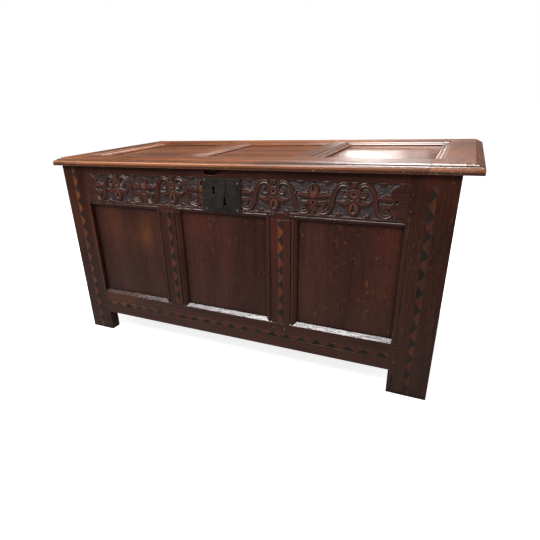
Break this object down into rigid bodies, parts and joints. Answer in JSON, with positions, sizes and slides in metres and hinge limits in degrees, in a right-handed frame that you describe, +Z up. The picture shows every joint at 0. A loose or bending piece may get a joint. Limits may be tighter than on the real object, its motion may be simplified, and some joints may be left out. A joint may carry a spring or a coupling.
{
  "type": "coffer chest",
  "caption": "Joined oak coffer on stile legs with a carved frieze, sunk panels, sawtooth inlay, a hinged panelled lid and an iron plate lock with a swinging keyhole cover.",
  "frame": {"origin": "on the ground, under the middle of the overall plan (lid and hinges included)", "axes": "+X to the right along the front, which faces -Y; +Y to the back; +Z up"},
  "size_m": [1.311, 0.6202, 0.6473],
  "materials": {
    "stile_oak": "waxed, red-brown, polished by wear",
    "rail_oak": "waxed, dark red-brown, carved ground punched and dark",
    "panel_oak": "waxed, brown with a soft sheen",
    "hidden_oak": "dry, unpolished",
    "lid_oak": "waxed, warm brown, worn at the edges",
    "lid_panel_oak": "waxed, warm brown, glossy",
    "inlay": "bog oak, dull black, with lighter wood between",
    "iron": "wrought, dark grey-green patina",
    "worn_iron": "wrought, rubbed brighter by use"
  },
  "bodies": {
    "carcass": {"front_left_stile": "stile_oak", "front_right_stile": "stile_oak", "back_left_stile": "hidden_oak", "back_right_stile": "hidden_oak", "front_top_rail": "rail_oak", "front_bottom_rail": "rail_oak", "front_left_muntin": "stile_oak", "front_right_muntin": "stile_oak", "front_left_panel": "panel_oak", "front_middle_panel": "panel_oak", "front_right_panel": "panel_oak", "back_top_rail": "hidden_oak", "back_bottom_rail": "hidden_oak", "back_left_muntin": "hidden_oak", "back_right_muntin": "hidden_oak", "back_left_panel": "hidden_oak", "back_middle_panel": "hidden_oak", "back_right_panel": "hidden_oak", "left_end_top_rail": "rail_oak", "left_end_bottom_rail": "rail_oak", "left_end_muntin": "stile_oak", "left_end_front_panel": "panel_oak", "left_end_back_panel": "panel_oak", "right_end_top_rail": "rail_oak", "right_end_bottom_rail": "rail_oak", "right_end_muntin": "stile_oak", "right_end_front_panel": "panel_oak", "right_end_back_panel": "panel_oak", "floor_board_1": "hidden_oak", "floor_board_2": "hidden_oak", "floor_board_3": "hidden_oak", "floor_board_4": "hidden_oak", "left_stile_inlay": "inlay", "right_stile_inlay": "inlay", "left_muntin_inlay": "inlay", "right_muntin_inlay": "inlay", "bottom_rail_inlay": "inlay", "left_hinge_leaf": "iron", "left_hinge_pin": "worn_iron", "right_hinge_leaf": "iron", "right_hinge_pin": "worn_iron", "lock_plate": "iron", "cover_rivet": "worn_iron", "lock_case": "iron"},
    "lid": {"lid_left_rail": "lid_oak", "lid_right_rail": "lid_oak", "lid_front_rail": "lid_oak", "lid_back_rail": "lid_oak", "lid_left_muntin": "lid_oak", "lid_right_muntin": "lid_oak", "lid_left_panel": "lid_panel_oak", "lid_middle_panel": "lid_panel_oak", "lid_right_panel": "lid_panel_oak", "left_hinge_strap": "iron", "right_hinge_strap": "iron", "lid_staple": "iron"},
    "keyhole_cover": {"keyhole_cover": "worn_iron"},
    "lock_bolt": {"lock_bolt": "worn_iron"}
  },
  "joints": [
    {"name": "lid_hinge", "type": "hinge", "parent": "carcass", "child": "lid", "pos_m": [0, 0.30415, 0.6203], "axis": [-1, 0, 0], "range_deg": [0, 100]},
    {"name": "cover_swing", "type": "hinge", "parent": "carcass", "child": "keyhole_cover", "pos_m": [-0.001, -0.30075, 0.583], "axis": [0, -1, 0], "range_deg": [-75, 95]},
    {"name": "bolt_slide", "type": "slide", "parent": "carcass", "child": "lock_bolt", "axis": [-1, 0, 0], "range_m": [0, 0.015]}
  ]
}
